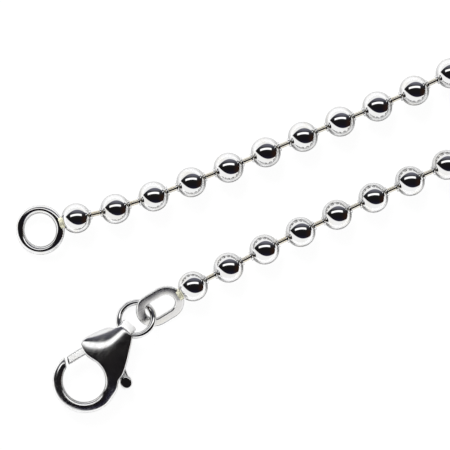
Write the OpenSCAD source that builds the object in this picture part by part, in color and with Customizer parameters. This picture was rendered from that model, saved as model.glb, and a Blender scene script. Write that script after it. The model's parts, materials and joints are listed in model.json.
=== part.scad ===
// Ball chain necklace with a lobster clasp, lying unfastened on a flat surface with its two ends
// side by side.
// Millimetres. +X runs from the fastening ends to the far bend of the loop, +Y from the link's
// run to the ring's run, +Z is up. The origin is the middle of the outline, on the surface.

/* [Chain] */
// Outer diameter of each ball
ball_d = 3; // [2.8:0.1:3.3]
// Wall of the hollow balls
ball_wall = 0.3; // [0.25:0.01:0.35]
// Distance between the centres of neighbouring balls
ball_pitch = 4.02; // [3.9:0.01:4.3]
// Diameter of the pins' wire
pin_d = 0.5; // [0.4:0.02:0.54]
// Diameter of the head at each end of a pin
pin_head_d = 0.86; // [0.8:0.02:0.94]
// Clearance all round a pin in its hole
pin_play = 0.1; // [0.1:0.01:0.12]
// Wall of the lip round each hole
lip_wall = 0.11; // [0.08:0.01:0.15]
// How far that lip stands out of the ball
lip_h = 0.08; // [0.05:0.01:0.15]

/* [End ring] */
// Outer diameter of the ring soldered to the first ball
ring_d = 5; // [4.5:0.1:6]
// Diameter of its wire
ring_wire = 0.85; // [0.7:0.05:1]
// Angle at which the ring leans from the ball down to the surface
ring_lean = 13; // [8:1:20]
// Heading of the ring from its ball
ring_heading = 172.7; // [165:0.1:180]

/* [Oval link] */
// Outer length of the link soldered to the last ball
link_len = 5.05; // [4.8:0.05:5.6]
// Outer width of the link
link_w = 3.75; // [3.7:0.05:4.2]
// Width of its flat band
link_band = 0.92; // [0.8:0.02:0.94]
// Thickness of the band
link_thick = 0.5; // [0.4:0.02:0.54]
// Heading of the link from its ball
link_heading = 186.5; // [183:0.5:190]
// Angle at which the link droops from the ball
link_droop = 7; // [5:0.5:9]
// Angle by which the link is rolled about its length
link_roll = 25; // [24:0.5:28]

/* [Solder] */
// Diameter of the solder between a ball and what it carries
solder_d = 1.2; // [0.9:0.05:1.3]
// How far the ring and the link sink into the wall of their ball
solder_sink = 0.15; // [0.05:0.01:0.2]

/* [Jump ring] */
// Outer diameter of the jump ring
jump_d = 4.1; // [4:0.05:4.4]
// Diameter of its wire
jump_wire = 0.6; // [0.5:0.02:0.62]
// Room between the wire and the end of the link's slot
jump_seat = 0.33; // [0.25:0.01:0.4]
// Angle by which the ring is tilted to pass through the link
jump_tilt = 20.6; // [19:0.2:23]
// Heading from the clasp's eye to the middle of the jump ring
jump_heading = 22; // [18:0.5:26]

/* [Clasp] */
// Heading of the clasp from its hook to its eye
clasp_heading = 23.4; // [18:0.2:28]
// Inner diameter of the hook
hook_hole = 4.3; // [4:0.05:4.8]
// Width of the hook's wire
hook_w = 1.1; // [1:0.02:1.3]
// Height of the hook's wire
hook_tall = 1.5; // [1.3:0.05:1.8]
// Thickness of the clasp's body
clasp_thick = 2.6; // [2.56:0.02:2.7]
// Radius of the body's domed faces, across the clasp
dome_r = 4.2; // [4:0.1:6]
// Distance from the middle of the hook to the eye
eye_reach = 6.3; // [6:0.05:7.2]
// How far the eye lies to the gate's side
eye_side = 0.25; // [0:0.05:0.4]
// Diameter of the eye's hole
eye_hole = 1.35; // [1.3:0.01:1.45]
// Wall of the eye
eye_wall = 0.5; // [0.4:0.02:0.56]
// Width of the eye
eye_w = 1.6; // [1.4:0.05:1.7]

/* [Gate] */
// Thickness of the lever
lever_thick = 0.9; // [0.7:0.02:1]
// Width of the gate's bar
gate_w = 0.85; // [0.75:0.01:0.9]
// Gap between the gate and the tip of the hook
gate_gap = 0.25; // [0.15:0.01:0.35]
// Angle round the hook at which the gate meets its tip
gate_at = 84; // [80:1:90]
// Slant of the gate's and the hook's end faces
tip_slant = 55; // [45:1:70]
// How far the gate opens into the hook
gate_open = 25; // [20:1:28]
// Diameter of the lever's hub
hub_d = 1.9; // [1.7:0.05:2]
// Width of the trigger's bar
trigger_w = 0.88; // [0.7:0.02:0.9]
// Diameter of the trigger's knob
knob_d = 1.1; // [0.9:0.05:1.1]
// Distance between the knob and the hook
knob_out = 0.4; // [0.3:0.02:0.6]
// Angle round the hook at which the knob lies
knob_at = -51; // [-53:1:-49]
// Diameter of the pivot pin
pivot_d = 0.8; // [0.6:0.02:0.9]
// Running clearance all round the pivot pin in the lever
pivot_play = 0.04; // [0.03:0.01:0.06]
// How deep the pivot pin is seated in each cheek of the body
pivot_seat = 0.4; // [0.3:0.02:0.5]
// Clearance round the lever in the body's slot
slot_play = 0.12; // [0.1:0.01:0.14]

/* [Hidden] */

// Segments of a large round, of a small one and of the wires
ball_fn = 48;
bore_fn = 24;
wire_fn = 32;
ring_fn = 96;
dome_fn = 180;
// Points between two of a body's outline
outline_steps = 4;
// Length by which a cutter runs past what it cuts
over = 1;
// Clearance of the pivot pin in its seats and at its ends
seat_play = 0.02;
// Angle round the hook at which its wire ends inside the body
hook_root = 340;
// Angle by which the hook's sweep runs past its end face before it is cut there
tip_spare = 20;

// Route of the chain from the ring's ball to the link's ball, chosen by hand. The first and last
// points follow the two visible runs, and the rest opens into a plain rounded loop.
route = [
    [-13.2, 6.9], [-9.3, 6.1], [-1.2, 5.3], [10.8, 4.7], [26.6, 4.2], [50, 7], [76, 17], [104, 31],
    [130, 39], [152, 35], [167, 20], [172, 0], [167, -20], [152, -35], [130, -39], [104, -31],
    [76, -17], [50, -7], [26.8, -4.1], [10.8, -3.8], [-1.3, -4], [-5.5, -4.2]
];
route_steps = 16;

// A smooth curve through a list of points: each stretch is a cubic with the slopes at its ends
function chord(p, i) = norm(p[i + 1] - p[i]);
function slope(p, i) =
    i == 0 ? (p[1] - p[0]) / chord(p, 0)
    : i == len(p) - 1 ? (p[i] - p[i - 1]) / chord(p, i - 1)
    : let (a = chord(p, i - 1), b = chord(p, i))
      ((p[i] - p[i - 1]) * b / a + (p[i + 1] - p[i]) * a / b) / (a + b);
function between(p, i, t) =
    let (h = chord(p, i), s = t * t * (3 - 2 * t))
    p[i] * (1 - s) + p[i + 1] * s
    + slope(p, i) * h * t * (1 - t) * (1 - t)
    - slope(p, i + 1) * h * t * t * (1 - t);
function smooth(p, steps) =
    [for (i = [0 : len(p) - 2], k = [0 : steps - 1]) between(p, i, k / steps), p[len(p) - 1]];

// The balls' places, evenly spaced along the route
track = smooth(route, route_steps);
reach = [for (i = 0, s = 0; i < len(track);
    i = i + 1, s = i < len(track) ? s + norm(track[i] - track[i - 1]) : s) s];
route_len = reach[len(reach) - 1];
balls = round(route_len / ball_pitch) + 1;
spacing = route_len / (balls - 1);
track_x = [for (i = [0 : len(track) - 1]) [reach[i], track[i].x]];
track_y = [for (i = [0 : len(track) - 1]) [reach[i], track[i].y]];
spots = [for (i = [0 : balls - 1]) [lookup(i * spacing, track_x), lookup(i * spacing, track_y)]];
function heading(a, b) = atan2(b.y - a.y, b.x - a.x);
function aim(angle) = [cos(angle), sin(angle)];

// Chain sizes that follow from the named ones
ball_r = ball_d / 2;
hole_r = pin_d / 2 + pin_play;
lip_r = hole_r + lip_wall;
head_off = ball_r - ball_wall - pin_play - pin_head_d / 2;

// The end ring leans on its ball and rests on the surface with its far side
ring_mid_r = (ring_d - ring_wire) / 2;
ring_off = ball_r + ring_wire / 2 - solder_sink + ring_mid_r * cos(ring_lean);
ring_z = ring_wire / 2 + ring_mid_r * sin(ring_lean);
ring_spot = spots[0] + ring_off * aim(ring_heading);

// The oval link meets its ball at half its height and droops away from it
link_off = ball_r - solder_sink + link_len / 2 * cos(link_droop);
link_z = ball_r - link_len / 2 * sin(link_droop);
link_spot = spots[balls - 1] + link_off * aim(link_heading);

// The jump ring passes the link's middle plane near the far end of its slot
jump_mid_r = (jump_d - jump_wire) / 2;
slot_at = link_len / 2 - link_band - jump_seat - jump_wire / 2;
jump_spot = link_spot + slot_at * cos(link_droop) * aim(link_heading) - [jump_mid_r, 0];
jump_z = link_z - slot_at * sin(link_droop);

// The clasp hangs on the jump ring by its eye; its own frame has the hook's middle at its origin,
// +X to the eye, +Y to the gate's side and z = 0 at half its thickness
eye_spot = jump_spot - jump_mid_r * aim(jump_heading);
clasp_spot = eye_spot - eye_reach * aim(clasp_heading) - eye_side * aim(clasp_heading + 90);
clasp_z = clasp_thick / 2;
hook_r = hook_hole / 2 + hook_w;
hook_mid_r = (hook_hole + hook_w) / 2;

// Outline of the body, as shares of the eye's distance and of the hook's outer radius
body_outline = [
    // along, across
    [1.04, 0.40],
    [0.80, 0.63],
    [0.56, 0.81],
    [0.45, 0.86],
    [0.385, 0.78],
    [0.31, 0.48],
    [0.27, 0.25],
    [0.27, -0.25],
    [0.16, -0.62],
    [0.20, -0.91],
    [0.36, -0.83],
    [0.47, -0.79],
    [0.58, -0.70],
    [0.82, -0.43],
    [1.08, -0.14]
];

// The lever's centre lines, as shares of the hook's radii: hub, elbow, tip of the gate and knob. The
// gate's bar is drawn past its tip and cut there.
pivot_across = -0.06;
elbow_along = 0.95;
elbow_across = 0.53;
tip_out = 0.96;
bar_past = 1.1;
pivot = [hook_r + hub_d / 2, pivot_across * hook_r];
elbow = hook_r * [elbow_along, elbow_across];
gate_tip = tip_out * hook_mid_r * aim(gate_at);
gate_end = elbow + bar_past * (gate_tip - elbow);
knob = (hook_r + knob_out + knob_d / 2) * aim(knob_at);
split_depth = 1.5 * hook_w;
slot_tall = lever_thick + 2 * slot_play;
slot_steps = 5;
pivot_len = slot_tall + 2 * pivot_seat;

// The middle of the outline goes to the origin
low_x = clasp_spot.x - hook_r;
high_x = max([for (p = spots) p.x]) + ball_r;
low_y = min([for (p = spots) p.y]) - ball_r;
high_y = max([for (p = spots) p.y]) + ball_r;
centring = -[low_x + high_x, low_y + high_y] / 2;

// Frame at a point of the layout, turned to a heading
module at(spot, z, angle) {
    translate([spot.x + centring.x, spot.y + centring.y, z]) rotate([0, 0, angle]) children();
}

module clasp_frame() {
    at(clasp_spot, clasp_z, clasp_heading) children();
}

// Lays a cylinder's axis along +X
module along_x() {
    rotate([0, 90, 0]) children();
}

module wire_ring(mid_r, wire) {
    rotate_extrude($fn = ring_fn) translate([mid_r, 0]) circle(d = wire, $fn = wire_fn);
}

// A hollow ball, drilled and lipped towards each of the given headings. The spheres, here and in the
// pins, are turned so that their seams lie at the side, clear of the holes.
module drilled_ball(spot, headings) {
    at(spot, ball_r, 0) difference() {
        union() {
            rotate([0, 0, headings[0] + 90]) sphere(r = ball_r, $fn = ball_fn);
            for (angle = headings)
                rotate([0, 0, angle]) along_x() cylinder(r = lip_r, h = ball_r + lip_h, $fn = bore_fn);
        }
        rotate([0, 0, headings[0] + 90]) sphere(r = ball_r - ball_wall, $fn = ball_fn);
        for (angle = headings)
            rotate([0, 0, angle]) along_x() cylinder(r = hole_r, h = ball_r + over, $fn = bore_fn);
    }
}

// A pin from one ball to the next, with a head inside each
module headed_pin(a, b) {
    gap = norm(b - a);
    at(a, ball_r, heading(a, b)) {
        translate([head_off, 0, 0]) along_x() cylinder(d = pin_d, h = gap - 2 * head_off, $fn = bore_fn);
        for (x = [head_off, gap - head_off])
            translate([x, 0, 0]) rotate([0, 0, 90]) sphere(d = pin_head_d, $fn = wire_fn);
    }
}

// Solder from inside a ball's wall out to a given distance
module solder(spot, angle, out) {
    start = ball_r - ball_wall / 2;
    at(spot, ball_r, angle) translate([start, 0, 0]) along_x()
        cylinder(d = solder_d, h = out - start, $fn = wire_fn);
}

module stadium(length, width) {
    straight = length - width;
    square([straight, width], center = true);
    for (side = [-1, 1])
        translate([side * straight / 2, 0]) circle(d = width, $fn = ring_fn);
}

module bar(a, b, width) {
    translate(a) rotate(heading(a, b)) translate([0, -width / 2]) square([norm(b - a), width]);
}

// Plans of the lever's hub and of its two arms, grown all round by a clearance
module hub_plan(grow) {
    translate(pivot) circle(d = hub_d + 2 * grow, $fn = ring_fn);
}

module arms_plan(grow) {
    bar(pivot, elbow, gate_w + 2 * grow);
    translate(elbow) circle(d = gate_w + 2 * grow, $fn = wire_fn);
    bar(elbow, gate_end, gate_w + 2 * grow);
    bar(pivot, knob, trigger_w + 2 * grow);
}

// Cutter along the slanted split: side 1 ends the hook there, and side -1 the gate
module past_split(side) {
    translate(gate_tip) rotate(tip_slant) translate([0, side * (gate_gap - split_depth) / 2])
        square([2 * split_depth, split_depth], center = true);
}

// Section of the hook's wire: taller than wide, with round top and bottom
module hook_section() {
    flat = hook_tall - hook_w;
    translate([hook_mid_r, 0]) {
        square([hook_w, flat], center = true);
        for (side = [-1, 1])
            translate([0, side * flat / 2]) circle(d = hook_w, $fn = wire_fn);
    }
}

module hook() {
    start = gate_at - tip_spare;
    difference() {
        rotate([0, 0, start]) rotate_extrude(angle = hook_root - start, $fn = ring_fn) hook_section();
        linear_extrude(clasp_thick, center = true) past_split(1);
    }
}

// Section of the eye's strap beside the axis of its hole, with rounded edges
module eye_section() {
    translate([(eye_hole + eye_wall) / 2, 0]) {
        square([eye_wall, eye_w - eye_wall], center = true);
        for (side = [-1, 1])
            translate([0, side * (eye_w - eye_wall) / 2]) circle(d = eye_wall, $fn = wire_fn);
    }
}

module eye_frame() {
    translate([eye_reach, eye_side, 0]) rotate([90, 0, 0]) children();
}

// What the flared hole of the eye takes out of the body
module eye_bore() {
    eye_frame() rotate_extrude($fn = ring_fn) difference() {
        translate([0, -eye_w]) square([(eye_hole + eye_wall) / 2, 2 * eye_w]);
        eye_section();
    }
}

// The body's plan between two wide cylinders, which give it domed faces
module domed_plan() {
    closed = [for (p = body_outline) [p.x * eye_reach, p.y * hook_r]];
    sunk = dome_r - clasp_thick / 2;
    intersection() {
        linear_extrude(clasp_thick, center = true) difference() {
            polygon(smooth(concat(closed, [closed[0]]), outline_steps));
            circle(d = hook_hole, $fn = ring_fn);
        }
        translate([0, 0, -sunk]) along_x() cylinder(r = dome_r, h = 2 * eye_reach, $fn = dome_fn);
        translate([0, 0, sunk]) along_x() cylinder(r = dome_r, h = 2 * eye_reach, $fn = dome_fn);
    }
}

// Room for the lever from closed to open, with the blind seats of its pin
module lever_room() {
    linear_extrude(slot_tall, center = true) {
        hub_plan(slot_play);
        for (k = [0 : slot_steps])
            translate(pivot) rotate(k * gate_open / slot_steps) translate(-pivot)
                arms_plan(slot_play);
    }
    translate(pivot)
        cylinder(d = pivot_d + 2 * seat_play, h = pivot_len + 2 * seat_play, center = true, $fn = wire_fn);
}

module chain_balls() {
    color("silver")
        for (i = [1 : balls - 2])
            drilled_ball(spots[i], [heading(spots[i], spots[i - 1]), heading(spots[i], spots[i + 1])]);
}

module chain_pins() {
    color("gainsboro")
        for (i = [0 : balls - 2])
            headed_pin(spots[i], spots[i + 1]);
}

module end_ring() {
    color("lightgray") {
        drilled_ball(spots[0], [heading(spots[0], spots[1])]);
        at(ring_spot, ring_z, ring_heading) rotate([0, ring_lean, 0]) wire_ring(ring_mid_r, ring_wire);
        solder(spots[0], ring_heading, ring_off - ring_mid_r * cos(ring_lean));
    }
}

module oval_link() {
    last = spots[balls - 1];
    color("lightgray") {
        drilled_ball(last, [heading(last, spots[balls - 2])]);
        at(link_spot, link_z, link_heading) rotate([-link_roll, link_droop, 0])
            linear_extrude(link_thick, center = true) difference() {
                stadium(link_len, link_w);
                stadium(link_len - 2 * link_band, link_w - 2 * link_band);
            }
        solder(last, link_heading, ball_r - solder_sink + link_band / 2);
    }
}

module jump_ring() {
    color("silver") at(jump_spot, jump_z, 0) rotate([-jump_tilt, 0, 0]) wire_ring(jump_mid_r, jump_wire);
}

module clasp_body() {
    color("silver") clasp_frame() difference() {
        union() {
            difference() {
                domed_plan();
                eye_bore();
            }
            hook();
            eye_frame() rotate_extrude($fn = ring_fn) eye_section();
        }
        lever_room();
    }
}

module gate_lever() {
    color("whitesmoke") clasp_frame() {
        difference() {
            linear_extrude(lever_thick, center = true) difference() {
                union() {
                    hub_plan(0);
                    arms_plan(0);
                }
                past_split(-1);
            }
            translate(pivot)
                cylinder(d = pivot_d + 2 * pivot_play, h = lever_thick + over, center = true, $fn = wire_fn);
        }
        translate(knob) sphere(d = knob_d, $fn = ball_fn);
    }
}

module clasp_pin() {
    color("gray") clasp_frame() translate(pivot) cylinder(d = pivot_d, h = pivot_len, center = true, $fn = wire_fn);
}

chain_balls();
chain_pins();
end_ring();
oval_link();
jump_ring();
clasp_body();
gate_lever();
clasp_pin();
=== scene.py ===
"""Dresses the ball chain necklace in polished silver: the chain's balls and pins, the soldered end
ring and oval link, the jump ring and the lobster clasp, on a white table under a light tent."""

import json
from math import asin, atan2, cos, degrees, exp, hypot, log, pi, radians, sin, sqrt, tau

import bmesh
import bpy
from bpy.props import FloatProperty, FloatVectorProperty, IntProperty, PointerProperty
from mathutils import Matrix, Vector


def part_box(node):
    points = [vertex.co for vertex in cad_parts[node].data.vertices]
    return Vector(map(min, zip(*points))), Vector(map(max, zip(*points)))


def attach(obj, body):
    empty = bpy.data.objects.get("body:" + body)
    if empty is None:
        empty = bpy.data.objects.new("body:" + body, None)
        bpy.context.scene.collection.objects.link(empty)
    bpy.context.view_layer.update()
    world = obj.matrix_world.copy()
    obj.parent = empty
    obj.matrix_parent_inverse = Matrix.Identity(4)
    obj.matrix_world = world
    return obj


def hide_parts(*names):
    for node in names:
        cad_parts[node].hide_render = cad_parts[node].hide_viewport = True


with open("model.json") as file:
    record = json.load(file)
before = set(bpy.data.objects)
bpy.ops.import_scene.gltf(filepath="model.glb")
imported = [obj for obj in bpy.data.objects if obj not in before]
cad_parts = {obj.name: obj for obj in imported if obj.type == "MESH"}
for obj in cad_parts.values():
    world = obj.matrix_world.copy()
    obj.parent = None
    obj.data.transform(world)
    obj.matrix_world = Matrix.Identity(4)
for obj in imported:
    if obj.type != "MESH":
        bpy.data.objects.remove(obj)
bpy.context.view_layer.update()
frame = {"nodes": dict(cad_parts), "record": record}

bl_info = {
    "name": "Ball Chain Necklace",
    "version": (1, 0, 0),
    "blender": (4, 5, 0),
    "location": "3D View > Sidebar > Necklace",
    "description": "Models a silver ball chain necklace with a lobster clasp over its packed frame",
    "category": "Object",
}

MM = 0.001
MERGE = 0.0005 * MM
CHAIN_BODY = "necklace"
GATE_BODY = "gate"

# Faces round the turned and swept pieces, and along the arcs of their profiles
PIN_AROUND = 20
SOLDER_AROUND = 32
WIRE_AROUND = 32
RING_STEPS = 128
LINK_TURN_STEPS = 32
LINK_EDGE_STEPS = 5
EYE_AROUND = 96
EYE_EDGE_STEPS = 12
EYE_CUTTER_AROUND = 64
HUB_AROUND = 48
KNOB_AROUND = 48
KNOB_EDGE_STEPS = 8
LEVER_EDGE_STEPS = 4
BALL_STEPS = 22
WALL_STEPS = 5
HEAD_STEPS = 7
SOLDER_STEPS = 8


# Places that the frame gives

def solids_of(node):
    """The points of each separate solid of a CAD node, read from a merged copy of its mesh."""
    merged = bmesh.new()
    merged.from_mesh(frame["nodes"][node].data)
    bmesh.ops.remove_doubles(merged, verts=merged.verts, dist=MERGE)
    seen = set()
    solids = []
    for first in merged.verts:
        if first in seen:
            continue
        seen.add(first)
        front = [first]
        points = []
        while front:
            vert = front.pop()
            points.append(vert.co.copy())
            for edge in vert.link_edges:
                other = edge.other_vert(vert)
                if other not in seen:
                    seen.add(other)
                    front.append(other)
        solids.append(points)
    merged.free()
    return solids


def top_of(points):
    """A ball's centre on the plan, which lies under its highest point."""
    top = max(points, key=lambda point: point.z)
    return Vector((top.x, top.y, BALL_R))


def middle_of(points):
    """Middle of the box round some points."""
    low = Vector(min(point[axis] for point in points) for axis in range(3))
    high = Vector(max(point[axis] for point in points) for axis in range(3))
    return (low + high) / 2


def mount_place(name):
    """Place of one of the record's mounts."""
    mounts = frame["record"]["mounts"]
    return Vector(next(mount["pos_m"] for mount in mounts if mount["name"] == name))


balls_low, balls_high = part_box("chain_balls")
BALL_R = (balls_high.z - balls_low.z) / 2
BALL_SPOTS = [top_of(points) for points in solids_of("chain_balls")]
PIN_SPOTS = [middle_of(points) for points in solids_of("chain_pins")]
FIRST_BALL = top_of([vert.co for vert in frame["nodes"]["end_ring"].data.vertices])
LAST_BALL = top_of([vert.co for vert in frame["nodes"]["oval_link"].data.vertices])
HOOK_SPOT = mount_place("clasp_hook")


# Sizes and colours that a user would change

def length(name, description, millimetres):
    """A length of the panel, given in millimetres."""
    return FloatProperty(
        name=name, description=description, default=millimetres * MM, unit="LENGTH", precision=5
    )


def angle(name, description, degrees_default):
    """An angle of the panel, given in degrees."""
    return FloatProperty(
        name=name, description=description, default=radians(degrees_default), subtype="ANGLE"
    )


def colour(name, description, default):
    """A colour of the panel."""
    return FloatVectorProperty(
        name=name, description=description, default=default, subtype="COLOR", size=3, min=0, max=1
    )


class NecklaceChain(bpy.types.PropertyGroup):
    """Sizes of the balls and pins"""

    wall: length("Ball wall", "Wall of the hollow balls", 0.3)
    hole_d: length("Hole", "Diameter of the holes for the pins", 0.7)
    lip_wall: length("Lip wall", "Wall of the lip round each hole", 0.11)
    lip_h: length("Lip height", "How far the lip stands out of the ball", 0.08)
    pin_d: length("Pin", "Diameter of the pins' wire", 0.5)
    head_d: length("Pin head", "Diameter of the head at each end of a pin", 0.86)
    head_play: length("Head clearance", "Clearance between a head and the ball's wall", 0.1)
    bend_reach: length("Bend reach", "Distance from a ball's middle over which its holes turn", 1.0)
    around: IntProperty(name="Steps round", description="Faces round a ball", default=40, min=12)


class NecklaceEnds(bpy.types.PropertyGroup):
    """Sizes of the end ring, the oval link and the jump ring"""

    ring_d: length("End ring", "Outer diameter of the end ring", 5.0)
    ring_wire: length("End ring wire", "Diameter of the end ring's wire", 0.85)
    ring_lean: angle("Ring lean", "Angle at which the ring leans down from its ball", 13)
    ring_heading: angle("Ring heading", "Heading of the ring from its ball", 172.7)
    link_len: length("Link length", "Outer length of the oval link", 5.05)
    link_w: length("Link width", "Outer width of the oval link", 3.75)
    link_band: length("Link band", "Width of the link's flat band", 0.92)
    link_thick: length("Link thickness", "Thickness of the link's band", 0.5)
    link_bevel: length("Link bevel", "Rounding of the link's edges", 0.17)
    link_taper: FloatProperty(name="Link taper", description="Slope of the link's worn side", default=0.2)
    link_heading: angle("Link heading", "Heading of the link from its ball", 186.5)
    link_droop: angle("Link droop", "Angle at which the link droops from its ball", 7)
    link_roll: angle("Link roll", "Angle by which the link is rolled about its length", 25)
    solder_d: length("Solder", "Diameter of the solder at the two ends", 1.3)
    solder_sink: length("Solder sink", "How far the ring and link sink into their ball", 0.15)
    jump_d: length("Jump ring", "Outer diameter of the jump ring", 4.1)
    jump_wire: length("Jump ring wire", "Diameter of the jump ring's wire", 0.6)
    jump_tilt: angle("Jump ring tilt", "Angle by which the jump ring is tilted", 20.6)


class NecklaceClasp(bpy.types.PropertyGroup):
    """Sizes of the lobster clasp"""

    heading: angle("Heading", "Heading of the clasp from its hook to its eye", 23.4)
    hole_d: length("Hook hole", "Inner diameter of the hook", 4.3)
    wire_tall: length("Hook height", "Height of the hook's wire", 1.5)
    edge_r: length("Edge round", "Radius that rounds the edges of the hook and the body", 0.2)
    eye_reach: length("Eye reach", "Distance from the hook's middle to the eye", 6.3)
    eye_side: length("Eye side", "How far the eye lies to the gate's side", 0.25)
    eye_hole: length("Eye hole", "Length of the eye's hole", 1.35)
    eye_low: length("Eye hole height", "Height of the eye's hole", 1.1)
    eye_wall: length("Eye wall", "Wall of the eye", 0.5)
    eye_w: length("Eye width", "Width of the eye", 1.6)
    lever_thick: length("Lever thickness", "Thickness of the gate's lever", 0.9)
    slot_play: length("Slot clearance", "Clearance round the lever in its slot", 0.12)
    swing: angle("Swing", "Angle by which the gate opens", 25)
    lever_bevel: length("Lever bevel", "Width of the bevels along the lever's edges", 0.14)
    knob_r: length("Knob", "Radius of the trigger's knob", 0.6)
    knob_tall: length("Knob height", "Height of the trigger's knob", 1.0)
    pin_d: length("Pivot pin", "Diameter of the pivot pin", 0.8)


class NecklaceFinish(bpy.types.PropertyGroup):
    """Colours of the metals"""

    silver: colour("Silver", "Polished silver", (0.88, 0.88, 0.88))
    tarnish: colour("Tarnish", "Silver dulled by air", (0.82, 0.80, 0.75))
    pin: colour("Pin wire", "Warm silver of the pins", (0.86, 0.82, 0.72))
    pin_dull: colour("Dull pin wire", "Pins' silver dulled by air", (0.78, 0.66, 0.44))
    solder: colour("Solder", "Pale yellow silver solder", (0.94, 0.92, 0.70))
    satin: colour("Satin", "Unpolished silver of the gate", (0.96, 0.96, 0.95))
    brushed: colour("Brushed", "Brushed silver of the link", (0.77, 0.76, 0.75))
    table: colour("Table", "White table", (0.9, 0.9, 0.9))


class NecklaceStage(bpy.types.PropertyGroup):
    """The table, the light tent and the camera"""

    turn: angle("Turn", "Angle by which the picture is turned on the table", -25)
    field: length("Field", "Width of the picture at the height of the balls' middles", 45)
    distance: length("Distance", "Distance from the camera to the balls' middles", 500)
    middle_x: length("Middle", "Place of the picture's middle along the necklace", -75.425)
    sensor: FloatProperty(name="Sensor", description="Width of the sensor in millimetres", default=36)
    floor_size: length("Table size", "Width of the table", 4000)
    wall_light: FloatProperty(name="Walls", description="Brightness of the tent's walls", default=1.0)
    bar_light: FloatProperty(name="Bar", description="Brightness of the bar light", default=1.3)
    glow: FloatProperty(name="Glow", description="Light that the table sends to the silver", default=0.3)
    # Reach of the contact shade that ambient occlusion paints on the table beside the pieces
    painted_shade_reach: length("Shade reach", "Distance over which the table is shaded by what lies on it", 4)
    lamp: FloatProperty(name="Lamp", description="Strength of the soft lamp on the table", default=3.1)
    lamp_from: angle("Lamp from", "Direction that the lamp shines from, off the picture's top", 20)
    lamp_height: angle("Lamp height", "Height of the lamp over the table", 40)
    lamp_soft: angle("Lamp softness", "Width of the lamp as the table sees it", 30)


# Modelling helpers

# Edges sharper than this look crisp
CRISP_EDGE = radians(35)
CASTING_CRISP_EDGE = radians(40)


def select_only(*pieces):
    """Selects the given pieces and nothing else. The first one is active."""
    bpy.ops.object.select_all(action="DESELECT")
    for piece in pieces:
        piece.select_set(True)
    bpy.context.view_layer.objects.active = pieces[0] if pieces else None


def clear_selection():
    """Leaves edit mode and selects nothing, before a primitive is added."""
    if bpy.context.object and bpy.context.object.mode != "OBJECT":
        bpy.ops.object.mode_set(mode="OBJECT")
    select_only()


def edit_all(piece):
    """Opens a piece in edit mode with all of it selected."""
    select_only(piece)
    bpy.ops.object.mode_set(mode="EDIT")
    bpy.ops.mesh.select_all(action="SELECT")


def close_seams(piece):
    """Merges the doubles of a closed shape and turns its faces outwards."""
    edit_all(piece)
    bpy.ops.mesh.remove_doubles(threshold=MERGE)
    bpy.ops.mesh.normals_make_consistent(inside=False)
    bpy.ops.object.mode_set(mode="OBJECT")


def drawn_line(name, points):
    """A line through the given points, drawn by extruding one vertex. It is left in edit mode."""
    clear_selection()
    bpy.ops.mesh.primitive_plane_add(size=MM)
    piece = bpy.context.object
    piece.name = name
    bpy.ops.object.mode_set(mode="EDIT")
    bpy.ops.mesh.merge(type="CENTER")
    bpy.ops.transform.translate(value=points[0])
    for start, end in zip(points, points[1:]):
        step = [b - a for a, b in zip(start, end)]
        bpy.ops.mesh.extrude_region_move(TRANSFORM_OT_translate={"value": step})
    bpy.ops.mesh.select_all(action="SELECT")
    bpy.ops.mesh.remove_doubles(threshold=MERGE)
    return piece


def turned(name, profile, steps):
    """A profile of (along, out) points turned about the X axis, as on a lathe."""
    piece = drawn_line(name, [(x, 0, z) for x, z in profile])
    bpy.ops.mesh.spin(steps=steps, angle=tau, center=(0, 0, 0), axis=(1, 0, 0))
    bpy.ops.object.mode_set(mode="OBJECT")
    close_seams(piece)
    return piece


def slab(name, outline, low, high):
    """A flat block between two heights with the given outline."""
    piece = drawn_line(name, [(x, y, low) for x, y in outline])
    bpy.ops.mesh.edge_face_add()
    bpy.ops.mesh.extrude_region_move(TRANSFORM_OT_translate={"value": (0, 0, high - low)})
    bpy.ops.object.mode_set(mode="OBJECT")
    close_seams(piece)
    return piece


def wire_ring(name, mid_r, wire):
    """A flat ring of round wire: the wire's section spun about the ring's middle."""
    clear_selection()
    bpy.ops.mesh.primitive_circle_add(vertices=WIRE_AROUND, radius=wire / 2)
    piece = bpy.context.object
    piece.name = name
    edit_all(piece)
    bpy.ops.transform.rotate(value=pi / 2, orient_axis="X", center_override=(0, 0, 0))
    bpy.ops.transform.translate(value=(mid_r, 0, 0))
    bpy.ops.mesh.spin(steps=RING_STEPS, angle=tau, center=(0, 0, 0), axis=(0, 0, 1))
    bpy.ops.object.mode_set(mode="OBJECT")
    close_seams(piece)
    return piece


def move_mesh(piece, matrix):
    """Puts a piece in its place with its object left at the origin."""
    piece.data.transform(matrix)
    piece.data.update()
    return piece


def copy_of(piece, name):
    """A copy of a piece, with its own mesh."""
    copy = piece.copy()
    copy.data = piece.data.copy()
    copy.name = name
    bpy.context.scene.collection.objects.link(copy)
    return copy


def joined(name, parts):
    """Makes one piece of several parts."""
    select_only(*parts)
    bpy.ops.object.join()
    piece = bpy.context.object
    piece.name = name
    piece.data.name = name
    return piece


def apply_modifier(piece, kind, **settings):
    """Adds a modifier with the given settings and applies it."""
    select_only(piece)
    modifier = piece.modifiers.new(kind.title(), kind)
    for key, value in settings.items():
        setattr(modifier, key, value)
    bpy.ops.object.modifier_apply(modifier=modifier.name)


def cut(piece, cutter):
    """Takes the cutter's shape out of a piece."""
    apply_modifier(piece, "BOOLEAN", operation="DIFFERENCE", solver="EXACT", object=cutter)
    bpy.data.objects.remove(cutter)


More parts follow.
